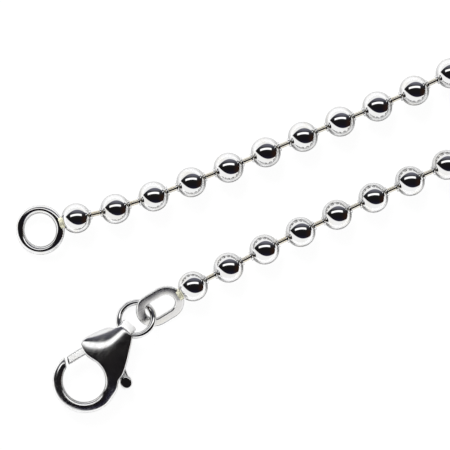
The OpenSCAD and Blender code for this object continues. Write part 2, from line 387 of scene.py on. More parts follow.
def drop_needless_points(piece):
    """Dissolves the points that a cut leaves in the middle of a straight edge."""
    select_only(piece)
    bpy.ops.object.mode_set(mode="EDIT")
    bpy.ops.mesh.select_mode(type="VERT")
    bpy.ops.mesh.select_all(action="DESELECT")
    mesh = bmesh.from_edit_mesh(piece.data)
    for vert in mesh.verts:
        if len(vert.link_edges) == 2:
            start, end = (edge.other_vert(vert).co for edge in vert.link_edges)
            line = (end - start).normalized()
            vert.select = (vert.co - start).cross(line).length < MERGE
    bpy.ops.mesh.dissolve_verts()
    bpy.ops.object.mode_set(mode="OBJECT")


def shade(piece, limit=CRISP_EDGE):
    """Shades a piece smooth, but for the edges that are sharper than the limit."""
    select_only(piece)
    bpy.ops.object.shade_smooth_by_angle(angle=limit)


def finish_piece(piece, body, node):
    """Fastens a finished piece to the frame in place of its CAD node."""
    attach(piece, body)
    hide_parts(node)


def planar(spot, heading):
    """Frame at a point of the necklace, turned to a heading on the table."""
    return Matrix.Translation(spot) @ Matrix.Rotation(heading, 4, "Z")


def ease(value):
    """A smooth step from nought to one."""
    share = max(0.0, min(1.0, value))
    return share * share * (3 - 2 * share)


# Chain

# Share of the lip's wall over which its rim is softened
LIP_SOFT = 0.3


def arc(radius, start, end, steps):
    """Points of an arc about the origin, from one angle off the X axis to another."""
    angles = [start + (end - start) * k / steps for k in range(steps + 1)]
    return [(radius * cos(a), radius * sin(a)) for a in angles]


def lip_profile(chain, side):
    """Profile of one lip, from the ball's outside over the rim to the inside of its wall."""
    rim = BALL_R + chain.lip_h
    hole_r = chain.hole_d / 2
    lip_r = hole_r + chain.lip_wall
    soft = chain.lip_wall * LIP_SOFT
    inside_r = BALL_R - chain.wall
    points = [
        (rim - soft, lip_r),
        (rim, lip_r - soft),
        (rim, hole_r + soft),
        (rim - soft, hole_r),
        (sqrt(inside_r**2 - hole_r**2), hole_r),
    ]
    return [(side * x, z) for x, z in points]


def ball_profile(chain, holes):
    """Closed profile of a hollow ball with one or two lipped holes."""
    hole_r = chain.hole_d / 2
    inside_r = BALL_R - chain.wall
    lip_at = asin((hole_r + chain.lip_wall) / BALL_R)
    bore_at = asin(hole_r / inside_r)
    back = pi - lip_at if holes == 2 else pi
    back_in = pi - bore_at if holes == 2 else pi
    outside = arc(BALL_R, lip_at, back, BALL_STEPS)
    inside = arc(inside_r, back_in, bore_at, WALL_STEPS)
    back_lip = lip_profile(chain, -1) if holes == 2 else []
    return outside + back_lip + inside + lip_profile(chain, 1)[::-1] + outside[:1]


def facing(spot):
    """Headings from a ball's middle to its pins, nearest first."""
    near = sorted(PIN_SPOTS, key=lambda pin: (pin - spot).length)[:2]
    return [atan2(pin.y - spot.y, pin.x - spot.x) for pin in near]


def bend_ball(piece, spot, ahead, behind, reach):
    """Puts a straight ball in its place and turns each hole towards its own pin."""
    bend = (ahead - behind) % tau - pi
    middle = ahead - bend / 2
    for vert in piece.data.vertices:
        share = max(-1.0, min(1.0, vert.co.x / reach))
        vert.co = Matrix.Rotation(middle + share * bend / 2, 3, "Z") @ vert.co + spot
    piece.data.update()


class NECKLACE_OT_balls(bpy.types.Operator):
    """Models one hollow ball with two lipped holes and strings its copies"""

    bl_idname = "necklace.balls"
    bl_label = "Balls"

    def execute(self, context):
        chain = context.scene.necklace_chain
        model = turned("ball", ball_profile(chain, 2), chain.around)
        runs = {"balls_ring_run": [], "balls_link_run": []}
        for spot in BALL_SPOTS:
            ball = copy_of(model, "ball_copy")
            ahead, behind = facing(spot)
            bend_ball(ball, spot, ahead, behind, chain.bend_reach)
            runs["balls_ring_run" if spot.y > 0 else "balls_link_run"].append(ball)
        bpy.data.objects.remove(model)
        for name, parts in runs.items():
            piece = joined(name, parts)
            piece.data.materials.append(polished_silver())
            shade(piece)
            finish_piece(piece, CHAIN_BODY, "chain_balls")
        return {"FINISHED"}


class NECKLACE_OT_pins(bpy.types.Operator):
    """Models one wire pin with a head at each end and strings its copies"""

    bl_idname = "necklace.pins"
    bl_label = "Pins"

    def execute(self, context):
        chain = context.scene.necklace_chain
        half = min((pin - BALL_SPOTS[0]).length for pin in PIN_SPOTS)
        head_r = chain.head_d / 2
        head_at = half - (BALL_R - chain.wall - chain.head_play - head_r)
        neck = asin(chain.pin_d / 2 / head_r)
        head = arc(head_r, 0, pi - neck, HEAD_STEPS)
        front = [(head_at + x, z) for x, z in head]
        back = [(-x, z) for x, z in front[::-1]]
        model = turned("pin", front + back, PIN_AROUND)
        parts = []
        for spot in PIN_SPOTS:
            pin = copy_of(model, "pin_copy")
            ball = min(BALL_SPOTS, key=lambda near: (near - spot).length)
            move_mesh(pin, planar(spot, atan2(ball.y - spot.y, ball.x - spot.x)))
            parts.append(pin)
        bpy.data.objects.remove(model)
        piece = joined("pins", parts)
        piece.data.materials.append(pin_silver())
        shade(piece)
        finish_piece(piece, CHAIN_BODY, "chain_pins")
        return {"FINISHED"}


# Soldered ends

# Share by which a bead of solder is thinner at its waist, and the size of its lumps
SOLDER_WAIST = 0.12
SOLDER_LUMPS = 0.1 * MM
# The link's worn side slopes from here on, and its faces that lie flatter than this are brushed
WORN_FROM = 0.5 * MM
BRUSHED_FACE = 0.96


def end_ball(spot, name):
    """A ball with one hole, for the end of the chain."""
    chain = bpy.context.scene.necklace_chain
    ball = turned(name, ball_profile(chain, 1), chain.around)
    return move_mesh(ball, planar(spot, facing(spot)[0]))


def solder_bead(name, spot, heading, start, end, radius):
    """A lumpy waisted bead of solder between a ball and what it carries."""
    shares = [k / SOLDER_STEPS for k in range(SOLDER_STEPS + 1)]
    outline = [(start + (end - start) * t, radius * (1 - SOLDER_WAIST * sin(pi * t))) for t in shares]
    bead = turned(name, [(start, 0)] + outline + [(end, 0)], SOLDER_AROUND)
    edit_all(bead)
    bpy.ops.transform.vertex_random(offset=SOLDER_LUMPS, seed=7)
    bpy.ops.mesh.vertices_smooth(factor=0.5, repeat=2)
    bpy.ops.object.mode_set(mode="OBJECT")
    return move_mesh(bead, planar(spot, heading))


class NECKLACE_OT_end_ring(bpy.types.Operator):
    """Models the end ring with the ball that it is soldered to"""

    bl_idname = "necklace.end_ring"
    bl_label = "End ring"

    def execute(self, context):
        ends = context.scene.necklace_ends
        mid_r = (ends.ring_d - ends.ring_wire) / 2
        edge = BALL_R + ends.ring_wire / 2 - ends.solder_sink
        reach = edge + mid_r * cos(ends.ring_lean)
        height = ends.ring_wire / 2 + mid_r * sin(ends.ring_lean)
        ring = wire_ring("end_ring_wire", mid_r, ends.ring_wire)
        place = planar(FIRST_BALL, ends.ring_heading) @ Matrix.Translation((reach, 0, height - BALL_R))
        move_mesh(ring, place @ Matrix.Rotation(ends.ring_lean, 4, "Y"))
        ring.data.materials.append(drawn_silver())
        ball = end_ball(FIRST_BALL, "end_ring_ball")
        ball.data.materials.append(polished_silver())
        start = BALL_R - ends.solder_sink
        bead = solder_bead("end_ring_solder", FIRST_BALL, ends.ring_heading, start, edge, ends.solder_d / 2)
        bead.data.materials.append(pale_solder())
        piece = joined("end_ring_soldered", [ring, ball, bead])
        shade(piece)
        finish_piece(piece, CHAIN_BODY, "end_ring")
        return {"FINISHED"}


def flat_link(name, ends):
    """An oval band: its section is swept round one end, along, round the other end and back."""
    clear_selection()
    bpy.ops.mesh.primitive_plane_add(size=1)
    piece = bpy.context.object
    piece.name = name
    straight = ends.link_len - ends.link_w
    mid_r = (ends.link_w - ends.link_band) / 2
    bpy.ops.object.mode_set(mode="EDIT")
    bpy.ops.mesh.delete(type="ONLY_FACE")
    bpy.ops.mesh.select_all(action="SELECT")
    bpy.ops.transform.rotate(value=pi / 2, orient_axis="X", center_override=(0, 0, 0))
    bpy.ops.transform.resize(value=(ends.link_band, 1, ends.link_thick), center_override=(0, 0, 0))
    bpy.ops.transform.rotate(value=pi / 2, orient_axis="Z", center_override=(0, 0, 0))
    bpy.ops.mesh.bevel(offset=ends.link_bevel, segments=LINK_EDGE_STEPS, affect="VERTICES")
    bpy.ops.transform.translate(value=(straight / 2, -mid_r, 0))
    bpy.ops.mesh.spin(steps=LINK_TURN_STEPS, angle=-pi, center=(straight / 2, 0, 0), axis=(0, 0, 1))
    bpy.ops.mesh.extrude_region_move(TRANSFORM_OT_translate={"value": (-straight, 0, 0)})
    bpy.ops.mesh.spin(steps=LINK_TURN_STEPS, angle=-pi, center=(-straight / 2, 0, 0), axis=(0, 0, 1))
    bpy.ops.mesh.extrude_region_move(TRANSFORM_OT_translate={"value": (straight, 0, 0)})
    bpy.ops.object.mode_set(mode="OBJECT")
    close_seams(piece)
    return piece


class NECKLACE_OT_oval_link(bpy.types.Operator):
    """Models the oval link with the ball that it is soldered to"""

    bl_idname = "necklace.oval_link"
    bl_label = "Oval link"

    def execute(self, context):
        ends = context.scene.necklace_ends
        link = flat_link("oval_band", ends)
        for vert in link.data.vertices:
            if vert.co.z > 0:
                vert.co.z -= ends.link_taper * max(0.0, vert.co.y - WORN_FROM)
        link.data.materials.append(drawn_silver())
        link.data.materials.append(brushed_silver(ends.link_heading))
        for face in link.data.polygons:
            face.material_index = 1 if abs(face.normal.z) > BRUSHED_FACE else 0
        reach = BALL_R - ends.solder_sink + ends.link_len / 2 * cos(ends.link_droop)
        drop = ends.link_len / 2 * sin(ends.link_droop)
        place = planar(LAST_BALL, ends.link_heading) @ Matrix.Translation((reach, 0, -drop))
        droop = Matrix.Rotation(ends.link_droop, 4, "Y")
        roll = Matrix.Rotation(-ends.link_roll, 4, "X")
        move_mesh(link, place @ droop @ roll)
        ball = end_ball(LAST_BALL, "oval_link_ball")
        ball.data.materials.append(polished_silver())
        start = BALL_R - ends.solder_sink
        end = start + ends.link_band / 2
        bead = solder_bead("oval_link_solder", LAST_BALL, ends.link_heading, start, end, ends.solder_d / 2)
        bead.data.materials.append(pale_solder())
        piece = joined("oval_link_soldered", [link, ball, bead])
        shade(piece)
        finish_piece(piece, CHAIN_BODY, "oval_link")
        return {"FINISHED"}


class NECKLACE_OT_jump_ring(bpy.types.Operator):
    """Models the jump ring between the link and the clasp"""

    bl_idname = "necklace.jump_ring"
    bl_label = "Jump ring"

    def execute(self, context):
        ends = context.scene.necklace_ends
        low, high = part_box("jump_ring")
        ring = wire_ring("jump_ring_wire", (ends.jump_d - ends.jump_wire) / 2, ends.jump_wire)
        tilt = Matrix.Rotation(-ends.jump_tilt, 4, "X")
        move_mesh(ring, Matrix.Translation((low + high) / 2) @ tilt)
        ring.data.materials.append(drawn_silver())
        shade(ring)
        finish_piece(ring, CHAIN_BODY, "jump_ring")
        return {"FINISHED"}


# Clasp. Its own frame has the hook's middle at the origin, +X to the eye and +Y to the gate's side.

# Angles round the hook's middle of its tip and of its end at the body, and those between the rows
HOOK_TIP = 88
HOOK_END = 300
HOOK_STEP = 10
# The tip's face slants by this angle each way, which fades out over the second angle
TIP_SLANT = 7.5
TIP_OVER = 30
# Outer edge of the hook, at angles round its middle
HOOK_OUTSIDE = [
    # angle, radius in mm
    (88, 3.10),
    (135, 3.18),
    (180, 3.2),
    (225, 3.24),
    (270, 3.33),
    (300, 3.43),
]
# Rails of the body beyond the hook: its outer edge and, opposite, its inner edge
BODY_RAILS = [
    # outside x, outside y, inside x, inside y, all in mm
    (2.26, -2.63, 1.36, -1.67),
    (2.90, -2.55, 1.68, -1.34),
    (3.59, -2.31, 1.92, -0.98),
    (4.40, -1.92, 2.07, -0.62),
    (5.17, -1.50, 2.14, -0.34),
    (5.90, -1.10, 2.17, -0.12),
    (6.40, -0.80, 2.19, 0.05),
    (6.60, -0.56, 2.19, 0.20),
    (6.64, 0.00, 2.17, 0.36),
    (6.65, 0.60, 2.14, 0.55),
    (6.64, 1.05, 2.10, 0.75),
    (6.42, 1.32, 2.06, 0.98),
    (5.80, 1.65, 2.03, 1.22),
    (5.04, 2.03, 2.02, 1.48),
    (4.30, 2.38, 2.06, 1.74),
    (3.60, 2.66, 2.14, 1.98),
    (3.05, 2.80, 2.24, 2.16),
    (2.70, 2.74, 2.36, 2.36),
    (2.50, 2.60, 2.46, 2.54),
]
# Sections along the whole sweep
STATIONS = 256
# Stations over which the sweep is rounded off at its two ends
END_STATIONS = 3
# Most that a rounded edge may take of half the section's width and height
NEARLY_ALL = 0.85
# Steps round a quarter of the clasp's section: its side, its rounded corner and half its top
SIDE_STEPS = 3
CORNER_STEPS = 7
TOP_STEPS = 10
QUARTER = SIDE_STEPS + CORNER_STEPS + TOP_STEPS
AROUND = 4 * QUARTER


def table_value(rows, key):
    """A value between the rows of a table of keys and values, or its last value beyond them."""
    for (key0, value0), (key1, value1) in zip(rows, rows[1:]):
        if key <= key1:
            return value0 + (value1 - value0) * ease((key - key0) / (key1 - key0))
    return rows[-1][1]


def clasp_rails(hole_r):
    """Rows of the clasp's outer and inner edge, from the hook's tip round to the body's shoulder."""
    rows = []
    for heading in range(HOOK_TIP, HOOK_END + 1, HOOK_STEP):
        outer = table_value(HOOK_OUTSIDE, heading) * MM
        slant = TIP_SLANT * max(0.0, 1 - (heading - HOOK_TIP) / TIP_OVER)
        out_at = radians(heading - slant)
        in_at = radians(heading + slant)
        rows.append((outer * cos(out_at), outer * sin(out_at), hole_r * cos(in_at), hole_r * sin(in_at)))
    return rows + [tuple(value * MM for value in row) for row in BODY_RAILS]


def smooth_row(rows, at):
    """A row between those of a table, on a smooth curve through all of them."""
    last = len(rows) - 1
    k = min(int(at), last - 1)
    t = at - k
    a, b, c, d = rows[max(k - 1, 0)], rows[k], rows[k + 1], rows[min(k + 2, last)]
    return [
        (2 * q + (r - p) * t + (2 * p - 5 * q + 4 * r - s) * t**2 + (3 * q - p - 3 * r + s) * t**3) / 2
        for p, q, r, s in zip(a, b, c, d)
    ]


# The body's dome is made of soft facets: beside the gate, on the trigger's side, next to the hook and
# at the shoulder. Each one falls along the clasp and across it from its height over the peak's place.
PEAK = (4.2, 0.3)
FACETS = [
    # fall along, fall across, height
    (0.22, 0.45, 1.50),
    (0.22, -0.25, 1.50),
    (-0.16, 0.142, 1.50),
    (-0.365, 0.41, 2.18),
]
RIDGE_SHARPNESS = 4.0
# The bevelled side beside the gate, which meets the dome at a sharper ridge
GATE_SIDE = (0.42, 0.86, 2.18)
SIDE_SHARPNESS = 12
# The hook's wire rises to the dome from here on, over this length of the clasp
RISE_FROM = -0.2
RISE_OVER = 2.6
# The hook's top falls off to both sides of a line round it, at a slope that grows over a short distance
HOOK_LINE = 2.58
HOOK_SLOPES = [
    # angle round the hook, slope
    (110, 0.85),
    (175, 0.5),
]
HOOK_TURN = 0.45


def facet_height(facet, x, y):
    """Height of a facet over a place, in mm."""
    along, across, height = facet
    return height - (x / MM - PEAK[0]) * along - (y / MM - PEAK[1]) * across


def soft_least(heights, sharpness):
    """The least of some heights, rounded off where two of them are close."""
    return -log(sum(exp(-sharpness * height) for height in heights)) / sharpness


def dome_height(clasp, x, y):
    """Half the clasp's height at a place: the crowned wire of the hook, rising to the body's dome."""
    dome = soft_least([facet_height(facet, x, y) for facet in FACETS], RIDGE_SHARPNESS)
    dome = soft_least([dome, facet_height(GATE_SIDE, x, y)], SIDE_SHARPNESS)
    slope = table_value(HOOK_SLOPES, degrees(atan2(y, x)) % 360)
    turn = HOOK_TURN * slope
    off = hypot(x, y) / MM - HOOK_LINE
    hook = clasp.wire_tall / MM / 2 - slope * (hypot(off, turn) - turn)
    return (hook + (dome - hook) * ease((x / MM - RISE_FROM) / RISE_OVER)) * MM


def quarter_point(step, half, corner_r):
    """A point on a quarter of a section with rounded corners: its distance in from the edge, its
    distance under the top there, and the share of that height which it has on a side."""
    if step < SIDE_STEPS:
        return 0, corner_r, step / SIDE_STEPS
    turn = min(1.0, (step - SIDE_STEPS) / CORNER_STEPS) * pi / 2
    top = max(0, step - SIDE_STEPS - CORNER_STEPS) / TOP_STEPS
    inwards = corner_r * (1 - cos(turn)) + (half - corner_r) * top
    return inwards, corner_r * (1 - sin(turn)), 1


def lofted_body(clasp):
    """The clasp's hook and domed body in one smooth sweep, from a ring drawn out between its rails."""
    clear_selection()
    bpy.ops.mesh.primitive_torus_add(
        major_radius=clasp.hole_d / 2, minor_radius=MM / 2, major_segments=STATIONS, minor_segments=AROUND
    )
    piece = bpy.context.object
    piece.name = "clasp_hook_and_body"
    rows = clasp_rails(clasp.hole_d / 2)
    for index, vert in enumerate(piece.data.vertices):
        station, step = divmod(index, AROUND)
        row = smooth_row(rows, station / (STATIONS - 1) * (len(rows) - 1))
        outside, inside = Vector(row[:2]), Vector(row[2:])
        half = (outside - inside).length / 2
        from_end = min(station, STATIONS - 1 - station) / END_STATIONS
        rounded_off = 1 - sqrt(1 - (1 - min(1.0, from_end)) ** 2)
        pulled_in = min(clasp.edge_r, NEARLY_ALL * half) * rounded_off
        quarter, at = divmod(step, QUARTER)
        at = QUARTER - at if quarter % 2 else at
        edge, opposite = (outside, inside) if quarter in (0, 3) else (inside, outside)
        side = dome_height(clasp, *edge) - pulled_in
        corner_r = min(clasp.edge_r, NEARLY_ALL * half, NEARLY_ALL * side)
        inwards, under, share = quarter_point(at, half, corner_r)
        inwards = pulled_in + inwards * (1 - pulled_in / half)
        spot = edge + (opposite - edge) * inwards / (2 * half)
        height = (dome_height(clasp, *spot) - under - pulled_in) * share
        vert.co = (*spot, height if quarter < 2 else -height)
    select_only(piece)
    bpy.ops.object.mode_set(mode="EDIT")
    bpy.ops.mesh.select_all(action="DESELECT")
    bpy.ops.mesh.select_mode(type="EDGE")
    mesh = bmesh.from_edit_mesh(piece.data)
    for edge in mesh.edges:
        edge.select = {vert.index // AROUND for vert in edge.verts} == {0, STATIONS - 1}
    bmesh.update_edit_mesh(piece.data)
    bpy.ops.mesh.delete(type="EDGE")
    bpy.ops.mesh.select_mode(type="VERT")
    bpy.ops.mesh.select_all(action="SELECT")
    bpy.ops.mesh.fill_holes(sides=0)
    bpy.ops.object.mode_set(mode="OBJECT")
    close_seams(piece)
    return piece


# The eye's outside: how deep under the dome it lies, the distance and slope of its far face, how far
# that is rounded back at its two sides, and the width of the polished edge there
EYE_UNDER = 0.04 * MM
EYE_FACE = 0.832 * MM
EYE_SLOPE = radians(45.7)
EYE_ROUND = 0.26 * MM
EYE_POLISHED = 0.1 * MM


def eye_matrix(clasp):
    """Frame of the eye: its hole runs along +X."""
    return Matrix.Translation((clasp.eye_reach, clasp.eye_side, 0)) @ Matrix.Rotation(pi / 2, 4, "Z")


def eye_outside(clasp, along, up, dome, aside):
    """Distance from the hole's axis to the eye's outside, on a ray of the given direction."""
    back = EYE_ROUND * (2 * aside / clasp.eye_w) ** 2
    far = clasp.eye_hole / 2 + clasp.eye_wall
    flush = (dome - EYE_UNDER) / max(abs(up), MERGE)
    if along <= 0:
        return min(far, flush)
    face = (EYE_FACE - back * cos(EYE_SLOPE)) / (cos(EYE_SLOPE) * along + sin(EYE_SLOPE) * abs(up))
    return min(far - back, flush, face)


def eye_strap(clasp):
    """The eye at the clasp's end: a short ring that comes out from under the dome and slopes off."""
    in_r = clasp.eye_hole / 2
    soft = clasp.eye_wall / 2
    side = clasp.eye_w / 2 - soft
    turns = [pi * k / EYE_EDGE_STEPS - pi / 2 for k in range(EYE_EDGE_STEPS + 1)]
    right = [(side + soft * cos(a), in_r + soft + soft * sin(a)) for a in turns]
    left = [(-x, z) for x, z in right[::-1]]
    strap = turned("clasp_eye", right + left + right[:1], EYE_AROUND)
    move_mesh(strap, eye_matrix(clasp))
    for vert in strap.data.vertices:
        along = vert.co.x - clasp.eye_reach
        from_axis = hypot(along, vert.co.z)
        way = (along / from_axis, vert.co.z / from_axis)
        dome = dome_height(clasp, vert.co.x, vert.co.y)
        out_r = eye_outside(clasp, *way, dome, vert.co.y - clasp.eye_side)
        hole_r = in_r / hypot(way[0], way[1] * in_r / (clasp.eye_low / 2))
        share = (from_axis - in_r) / clasp.eye_wall
        radius = hole_r + (out_r - hole_r) * share
        vert.co = (clasp.eye_reach + way[0] * radius, vert.co.y, way[1] * radius)
    return strap


def eye_cutter(clasp):
    """Cuts room in the body for the eye's hole, out to the middle of the eye's wall."""
    clear_selection()
    bpy.ops.mesh.primitive_cylinder_add(
        vertices=EYE_CUTTER_AROUND, radius=(clasp.eye_hole + clasp.eye_wall) / 2, depth=3 * clasp.eye_w
    )
    cutter = bpy.context.object
    share = (clasp.eye_low + clasp.eye_wall / 2) / (clasp.eye_hole + clasp.eye_wall)
    flattened = Matrix.Scale(share, 4, (0, 0, 1))
    return move_mesh(cutter, eye_matrix(clasp) @ flattened @ Matrix.Rotation(pi / 2, 4, "Y"))


# Plan of the lever: its pivot, its elbow, the tip of its gate and its knob, in mm
PIVOT_AT = Vector((4.2, -0.195))
ELBOW_AT = Vector((3.0875, 1.7225))
TIP_AT = Vector((0.271, 2.578))
KNOB_AT = Vector((2.643, -3.264))
# Radius of the lever's hub, and half the widths of its arms and its trigger, in mm
HUB_R = 0.95
ARM_HALF = 0.425
TRIGGER_HALF = 0.44
# How far before the knob's middle the trigger's bar ends, in mm
TRIGGER_SHORT = 0.42
# The lever's faces that lie flatter than this are satin, and its edges sharper than this are bevelled
SATIN_FACE = 0.99
BEVELLED_EDGE = radians(50)
# Reach of the room for the gate and for the trigger, and the gate's room's corner in the hook, in mm
GATE_ROOM = 1.9
TRIGGER_ROOM = 4
ROOM_CORNER = Vector((1.2, 0.6))


def slot_outlines(clasp):
    """Outlines of the room that the gate's arms, the hub and the trigger sweep inside the body."""
    play = clasp.slot_play / MM
    swing = Matrix.Rotation(clasp.swing, 2)

    def opened(point):
        return PIVOT_AT + swing @ (point - PIVOT_AT)

    arm = (ELBOW_AT - PIVOT_AT).normalized()
    gate = (TIP_AT - ELBOW_AT).normalized()
    trigger = (KNOB_AT - PIVOT_AT).normalized()
    arm_out = Vector((arm.y, -arm.x)) * (ARM_HALF + play)
    gate_out = Vector((gate.y, -gate.x)) * (ARM_HALF + play)
    corner_out = (arm_out + gate_out).normalized() * (ARM_HALF + play)
    trigger_out = Vector((trigger.y, -trigger.x)) * (TRIGGER_HALF + play)
    gate_room = [
        PIVOT_AT + arm_out,
        ELBOW_AT + arm_out,
        ELBOW_AT + corner_out,
        ELBOW_AT + gate_out,
        ELBOW_AT + gate_out + gate * GATE_ROOM,
        ROOM_CORNER,
        opened(ELBOW_AT - arm_out),
        opened(PIVOT_AT - arm_out),
    ]
    hub_turns = [tau * k / HUB_AROUND for k in range(HUB_AROUND)]
    hub_room = [PIVOT_AT + Vector((cos(a), sin(a))) * (HUB_R + play) for a in hub_turns]
    trigger_room = [
        PIVOT_AT + trigger_out,
        PIVOT_AT + trigger_out + trigger * TRIGGER_ROOM,
        opened(PIVOT_AT - trigger_out + trigger * TRIGGER_ROOM),
        opened(PIVOT_AT - trigger_out),
    ]
    return [gate_room, hub_room, trigger_room]


def cut_slot(body, clasp):
    """Cuts the slot for the lever into the body."""
    half = clasp.lever_thick / 2 + clasp.slot_play / 2
    for outline in slot_outlines(clasp):
        cut(body, slab("slot_cutter", [point * MM for point in outline], -half, half))


def clasp_matrix(clasp):
    """Frame of the clasp on the table."""
    return planar(HOOK_SPOT, clasp.heading)


class NECKLACE_OT_clasp_body(bpy.types.Operator):
    """Models the clasp's hook, domed body and eye, with the slot for its lever"""

    bl_idname = "necklace.clasp_body"
    bl_label = "Clasp body"

    def execute(self, context):
        clasp = context.scene.necklace_clasp
        body = lofted_body(clasp)
        cut_slot(body, clasp)
        cut(body, eye_cutter(clasp))
        drop_needless_points(body)
        body.data.materials.append(cast_silver())
        strap = eye_strap(clasp)
        strap.data.materials.append(satin_silver())
        strap.data.materials.append(drawn_silver())
        for face in strap.data.polygons:
            aside = abs(face.center.y - clasp.eye_side)
            face.material_index = 1 if aside > clasp.eye_w / 2 - EYE_POLISHED else 0
        body = joined("clasp_casting", [body, strap])
        move_mesh(body, clasp_matrix(clasp))
        shade(body, CASTING_CRISP_EDGE)
        finish_piece(body, CHAIN_BODY, "clasp_body")
        return {"FINISHED"}


# The knob: the share of its half height that its edge is rounded by, the height of its crown, and
# how much longer than wide it is
KNOB_ROUND = 0.4
KNOB_CROWN = 0.01 * MM
KNOB_LONG = 1.15


def knob_button(clasp):
    """The trigger's knob: a low button with a crowned top, a little longer along the trigger."""
    half = clasp.knob_tall / 2
    edge_r = half * KNOB_ROUND
    flat_r = clasp.knob_r - edge_r
    rim = half - KNOB_CROWN
    top = [(half, 0), (half - KNOB_CROWN / 4, flat_r / 2), (rim, flat_r)]
    turns = [pi / 2 * k / KNOB_EDGE_STEPS for k in range(1, KNOB_EDGE_STEPS + 1)]
    edge = [(rim - edge_r * (1 - cos(a)), flat_r + edge_r * sin(a)) for a in turns]
    side = top + edge
    knob = turned("knob", side + [(-x, z) for x, z in side[::-1]], KNOB_AROUND)
    trigger = KNOB_AT - PIVOT_AT
    along = Matrix.Rotation(atan2(trigger.y, trigger.x), 4, "Z")
    stretched = along @ Matrix.Scale(KNOB_LONG, 4, (1, 0, 0))
    place = clasp_matrix(clasp) @ Matrix.Translation((KNOB_AT * MM).to_3d())
    return move_mesh(knob, place @ stretched @ Matrix.Rotation(pi / 2, 4, "Y"))


class NECKLACE_OT_gate_lever(bpy.types.Operator):
    """Softens the edges of the gate's lever and gives its flat bar a satin face"""

    bl_idname = "necklace.gate_lever"
    bl_label = "Gate lever"

    def execute(self, context):
        clasp = context.scene.necklace_clasp
        lever = copy_of(frame["nodes"]["gate_lever"], "lever")
        lever.parent = None
        for key in list(lever.keys()):
            del lever[key]
        lever.data.materials.clear()
        close_seams(lever)
        bpy.ops.mesh.customdata_custom_splitnormals_clear()
        edit_all(lever)
        bpy.ops.mesh.dissolve_limited(angle_limit=radians(1))
        bpy.ops.mesh.select_all(action="SELECT")
        trigger = (KNOB_AT - PIVOT_AT).normalized()
        way = clasp_matrix(clasp).to_3x3() @ trigger.to_3d()
        stop = clasp_matrix(clasp) @ ((KNOB_AT - trigger * TRIGGER_SHORT) * MM).to_3d()
        bpy.ops.mesh.bisect(
            plane_co=stop, plane_no=way, use_fill=True, clear_outer=True, threshold=MERGE
        )
        bpy.ops.object.mode_set(mode="OBJECT")
        apply_modifier(
            lever, "BEVEL", width=clasp.lever_bevel, segments=LEVER_EDGE_STEPS, limit_method="ANGLE",
            angle_limit=BEVELLED_EDGE, use_clamp_overlap=False,
        )
        lever.data.materials.append(drawn_silver())
        lever.data.materials.append(satin_silver())
        for face in lever.data.polygons:
            face.material_index = 1 if abs(face.normal.z) > SATIN_FACE else 0
        knob = knob_button(clasp)
        knob.data.materials.append(drawn_silver())
        lever = joined("lever", [lever, knob])
        shade(lever)
        finish_piece(lever, GATE_BODY, "gate_lever")
        return {"FINISHED"}


# Rounding of the pivot pin's two ends
PIN_END_SOFT = 0.05 * MM


class NECKLACE_OT_clasp_pin(bpy.types.Operator):
    """Models the hidden pin that the gate turns on"""

    bl_idname = "necklace.clasp_pin"
    bl_label = "Clasp pin"

    def execute(self, context):
        clasp = context.scene.necklace_clasp
        low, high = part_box("clasp_pin")
        half = (high.z - low.z) / 2
        radius = clasp.pin_d / 2
        side = [(half, 0), (half, radius - PIN_END_SOFT), (half - PIN_END_SOFT, radius)]
        pin = turned("clasp_pin_turned", side + [(-x, z) for x, z in side[::-1]], WIRE_AROUND)
        move_mesh(pin, Matrix.Translation((low + high) / 2) @ Matrix.Rotation(pi / 2, 4, "Y"))
        pin.data.materials.append(drawn_silver())
        shade(pin)
        finish_piece(pin, CHAIN_BODY, "clasp_pin")
        return {"FINISHED"}


# Materials

class Nodes:
    """A node tree with short ways to add and join its nodes."""

    def __init__(self, tree):
        self.tree = tree

    def add(self, kind, inputs=None, **settings):
        node = self.tree.nodes.new(kind)
        for key, value in settings.items():
            setattr(node, key, value)
        for key, value in (inputs or {}).items():
            if isinstance(value, bpy.types.NodeSocket):
                self.tree.links.new(value, node.inputs[key])
            else:
                node.inputs[key].default_value = value
        return node

    def math(self, operation, first, second=0.0, third=0.0, clamp=False):
        inputs = {0: first, 1: second, 2: third}
        return self.add("ShaderNodeMath", inputs, operation=operation, use_clamp=clamp).outputs[0]

    def mix(self, factor, first, second):
        node = self.add("ShaderNodeMix", data_type="RGBA")
        for key, value in (("Factor_Float", factor), ("A_Color", first), ("B_Color", second)):
            socket = next(item for item in node.inputs if item.identifier == key)
            if isinstance(value, bpy.types.NodeSocket):
                self.tree.links.new(value, socket)
            else:
                socket.default_value = value
        return next(item for item in node.outputs if item.identifier == "Result_Color")


def opaque(rgb):
    """A colour with full alpha."""
    return (*rgb, 1.0)


def new_group(name, inputs, outputs):
    """An empty shader group with its named sockets."""
    tree = bpy.data.node_groups.new(name, "ShaderNodeTree")
    for socket, kind, default in inputs:
        item = tree.interface.new_socket(socket, in_out="INPUT", socket_type=kind)
        if default is not None:
            item.default_value = default
    for socket, kind in outputs:
        tree.interface.new_socket(socket, in_out="OUTPUT", socket_type=kind)
    return tree


